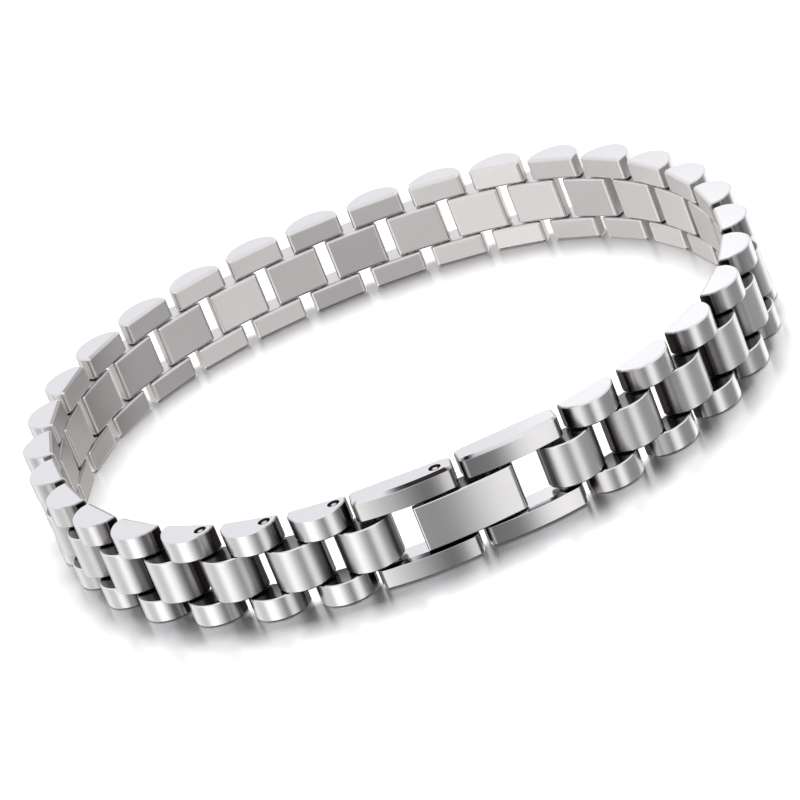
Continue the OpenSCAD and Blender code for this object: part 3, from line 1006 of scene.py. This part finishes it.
def studio_floor(look):
    """Wide round floor of pale gloss."""
    material = bpy.data.materials.new("floor gloss")
    material.use_nodes = True
    material.node_tree.nodes.clear()
    tree = Tree(material.node_tree)
    shader = tree.add("ShaderNodeBsdfPrincipled", {"Base Color": (*look.floor, 1), "Roughness": look.blur,
                                                   "Metallic": look.gloss})
    tree.add("ShaderNodeOutputMaterial", {"Surface": shader.outputs[0]})
    bm = bmesh.new()
    bmesh.ops.create_circle(bm, cap_ends=True, cap_tris=False, segments=96, radius=6)
    mesh = bpy.data.meshes.new("floor")
    bm.to_mesh(mesh)
    bm.free()
    mesh.materials.append(material)
    return bpy.data.objects.new("floor", mesh)


# Light from round the object: direction in degrees, where -90 is the front, and how bright it is.
# A wide soft box stands to the left and a narrow one to the right, with a gap between them in front.
ROUND = ((-180, 0.75), (-167, 0.85), (-155, 1.45), (-145, 1.75), (-130, 1.45), (-119, 1.1), (-112, 0.8),
         (-105, 0.6), (-97, 0.4), (-91, 0.27), (-86, 0.27), (-81, 0.52), (-76, 0.88), (-69, 1.2),
         (-57, 1.25), (-47, 0.75), (-38, 0.4), (-22, 0.3), (0, 0.32), (11, 0.26), (19, 0.5), (27, 1.05),
         (38, 1.5), (60, 1.1), (90, 1.3), (104, 0.9), (115, 0.6), (135, 1.05), (148, 1.15), (163, 0.85),
         (180, 0.75))
# Light from below to above: height in degrees, how bright it is, and how much of it is even all round
UPRIGHT = ((-90, 0.01, 1.0), (-57, 0.03, 1.0), (-42, 1.0, 0.0), (-4, 1.0, 0.0), (13, 1.03, 1.0),
           (90, 1.1, 1.0))
# Brightness that counts as 1 in the ramps, more than any in the tables
BRIGHTEST = 1.8
COOL, WARM = Vector((0.97, 0.965, 1.0)), Vector((1.0, 0.99, 0.975))
EVEN_LIGHT = 1.03
# Two lights: place, aim, width and height in metres, and power in watts. The first lights the floor
# alone, and the second shows in the flat tops at the right.
TOP_LIGHT = ((0.05, 0.25, 0.7), (0, 0, 0), 0.45, 0.35, 2.85 * math.pi)
CARD = ((0.027, 0.1, 0.061), (0.02, -0.015, 0.008), 0.032, 0.022, 0.0008)
ROOM_GREY = 0.08


def ramp(tree, value, stops):
    """Colour ramp from 0 to 1 through these stops, each a place and three channels."""
    node = tree.add("ShaderNodeValToRGB", {"Fac": value})
    node.color_ramp.interpolation = "EASE"
    elements = node.color_ramp.elements
    while len(elements) < len(stops):
        elements.new(0.5)
    for element, (at, *channels) in zip(elements, stops):
        element.position = at
        element.color = (*channels, 1)
    return node.outputs["Color"]


def studio_world(scene):
    """Soft boxes and gaps all round, which the steel reflects. The camera itself sees plain white,
    and the floor gets a weak even light."""
    world = bpy.data.worlds.new("studio")
    world.use_nodes = True
    world.node_tree.nodes.clear()
    tree = Tree(world.node_tree)
    way = tree.add("ShaderNodeSeparateXYZ", {0: tree.add("ShaderNodeTexCoord").outputs["Generated"]}).outputs
    azimuth = tree.math("MULTIPLY_ADD", tree.math("ARCTAN2", way["Y"], way["X"]), 0.5 / math.pi, 0.5)
    height = tree.math("MULTIPLY_ADD", tree.math("ARCSINE", way["Z"]), 1 / math.pi, 0.5)
    around = ramp(tree, azimuth, [((a + 180) / 360, *(COOL.lerp(WARM, min(b, 1)) * b / BRIGHTEST))
                                  for a, b in ROUND])
    upright = ramp(tree, height, [((h + 90) / 180, b / BRIGHTEST, even, 0) for h, b, even in UPRIGHT])
    split = tree.add("ShaderNodeSeparateColor", {0: upright}).outputs
    even = tree.mixed(split["Green"], around, COOL * EVEN_LIGHT / BRIGHTEST)
    lit = tree.scaled(even, tree.math("MULTIPLY", split["Red"], BRIGHTEST ** 2))
    rays = tree.add("ShaderNodeLightPath").outputs
    room, soft, white = [tree.add("ShaderNodeBackground", {"Color": shown, "Strength": 1.0}).outputs[0]
                         for shown in (lit, (ROOM_GREY, ROOM_GREY, ROOM_GREY, 1), (1, 1, 1, 1))]
    mixed = tree.add("ShaderNodeMixShader", {0: rays["Is Diffuse Ray"], 1: room, 2: soft}).outputs[0]
    mixed = tree.add("ShaderNodeMixShader", {0: rays["Is Camera Ray"], 1: mixed, 2: white}).outputs[0]
    tree.add("ShaderNodeOutputWorld", {"Surface": mixed})
    scene.world = world


def soft_light(name, place, aim, width, height, energy):
    """Rectangular light that the camera doesn't see."""
    light = bpy.data.lights.new(name, "AREA")
    light.shape, light.size, light.size_y = "RECTANGLE", width, height
    light.energy = energy
    lamp = bpy.data.objects.new(name, light)
    lamp.location = place
    lamp.rotation_euler = (Vector(aim) - lamp.location).to_track_quat("-Z", "Y").to_euler()
    lamp.visible_camera = False
    return lamp


def studio_camera(look):
    """Camera that looks down at its aim from the front, with the picture turned about its middle."""
    down, roll = look.camera_height, look.camera_roll
    sight = Vector((0, math.cos(down), -math.sin(down)))
    upright = Vector((0, math.sin(down), math.cos(down)))
    right = math.cos(roll) * Vector((1, 0, 0)) + math.sin(roll) * upright
    up = -math.sin(roll) * Vector((1, 0, 0)) + math.cos(roll) * upright
    camera = bpy.data.objects.new("camera", bpy.data.cameras.new("camera"))
    camera.matrix_world = Matrix((right, up, -sight)).transposed().to_4x4()
    camera.location = Vector(look.camera_aim) - sight * look.camera_distance
    camera.data.lens = look.lens
    camera.data.clip_start, camera.data.clip_end = 0.01, 20
    return camera


class BRACELET_OT_studio(bpy.types.Operator):
    """Makes the floor, the soft light and the camera at the photograph's viewing angle"""

    bl_idname = "bracelet.studio"
    bl_label = "Studio"

    def execute(self, context):
        scene, look = context.scene, context.scene.bracelet.studio
        floor = studio_floor(look)
        floor.visible_glossy = floor.visible_shadow = False
        top = soft_light("top light", *TOP_LIGHT)
        top.visible_glossy = False
        card = soft_light("card", *CARD)
        card.visible_diffuse = False
        camera = studio_camera(look)
        for item in (floor, top, card, camera):
            scene.collection.objects.link(item)
        studio_world(scene)
        scene.camera = camera
        scene.view_settings.view_transform = "Standard"
        return {"FINISHED"}


class BRACELET_PT_panel(bpy.types.Panel):
    """Buttons for the pieces of the bracelet, and its sizes"""

    bl_idname = "BRACELET_PT_panel"
    bl_label = "Link bracelet"
    bl_space_type = "VIEW_3D"
    bl_region_type = "UI"
    bl_category = "Bracelet"

    def draw(self, context):
        settings = context.scene.bracelet
        for operator in OPERATORS:
            self.layout.operator(operator.bl_idname)
        for name in ("loop", "link", "clasp", "steel", "studio"):
            box = self.layout.box()
            box.label(text=name.capitalize())
            group = getattr(settings, name)
            for prop in group.bl_rna.properties:
                if prop.identifier not in ("rna_type", "name"):
                    box.prop(group, prop.identifier)


OPERATORS = (BRACELET_OT_side_links, BRACELET_OT_centre_links, BRACELET_OT_chain_pins,
             BRACELET_OT_hinge_frame, BRACELET_OT_catch_frame, BRACELET_OT_clasp_lever,
             BRACELET_OT_studio)
CLASSES = (LoopSizes, LinkSizes, ClaspSizes, SteelLooks, StudioLooks, BraceletSettings,
           *OPERATORS, BRACELET_PT_panel)


def register():
    for cls in CLASSES:
        bpy.utils.register_class(cls)
    bpy.types.Scene.bracelet = PointerProperty(type=BraceletSettings)


def unregister():
    del bpy.types.Scene.bracelet
    for cls in reversed(CLASSES):
        bpy.utils.unregister_class(cls)


def main():
    register()
    for operator in OPERATORS:
        group, name = operator.bl_idname.split(".")
        getattr(getattr(bpy.ops, group), name)()


if __name__ == "__main__":
    main()
